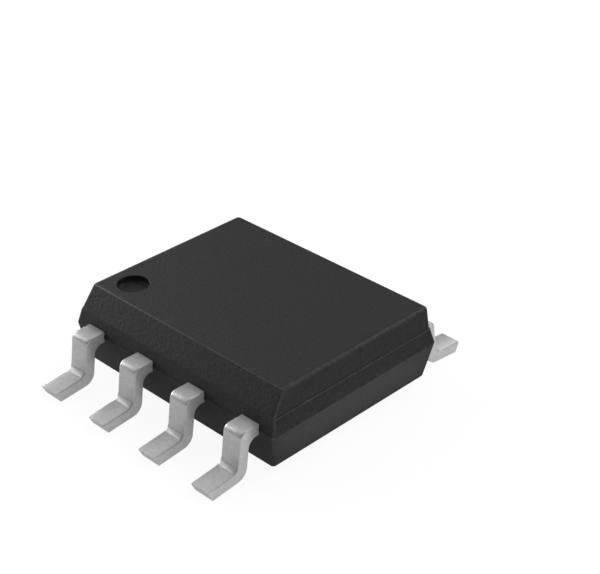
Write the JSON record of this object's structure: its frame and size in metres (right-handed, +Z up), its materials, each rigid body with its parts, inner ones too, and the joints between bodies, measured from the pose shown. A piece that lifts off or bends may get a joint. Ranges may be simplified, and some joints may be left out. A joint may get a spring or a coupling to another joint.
{
  "type": "small-outline integrated circuit",
  "caption": "Moulded small-outline chip with gull-wing leads along both sides, a bevelled front edge and a round dimple beside the first lead.",
  "frame": {"origin": "on the seating plane that the toes touch, under the middle of the package", "axes": "+X along the rows of leads, away from lead 1; +Y across the package, away from the bevelled front with lead 1; +Z up, out of the marked top face"},
  "size_m": [0.005, 0.006, 0.0015],
  "materials": {
    "mold_compound": "matte, spark-eroded mould finish",
    "tin_plate": "matte tin plating",
    "paddle_metal": "silver-spotted copper alloy strip",
    "die_epoxy": "silver-filled epoxy",
    "silicon": "polished",
    "bond_gold": "drawn gold wire"
  },
  "bodies": {
    "root": {"mold_body": "mold_compound", "lead_1": "tin_plate", "lead_2": "tin_plate", "lead_3": "tin_plate", "lead_4": "tin_plate", "lead_5": "tin_plate", "lead_6": "tin_plate", "lead_7": "tin_plate", "lead_8": "tin_plate", "die_pad": "paddle_metal", "die_attach": "die_epoxy", "die": "silicon", "bond_wire_1": "bond_gold", "bond_wire_2": "bond_gold", "bond_wire_3": "bond_gold", "bond_wire_4": "bond_gold", "bond_wire_5": "bond_gold", "bond_wire_6": "bond_gold", "bond_wire_7": "bond_gold", "bond_wire_8": "bond_gold"}
  },
  "joints": []
}
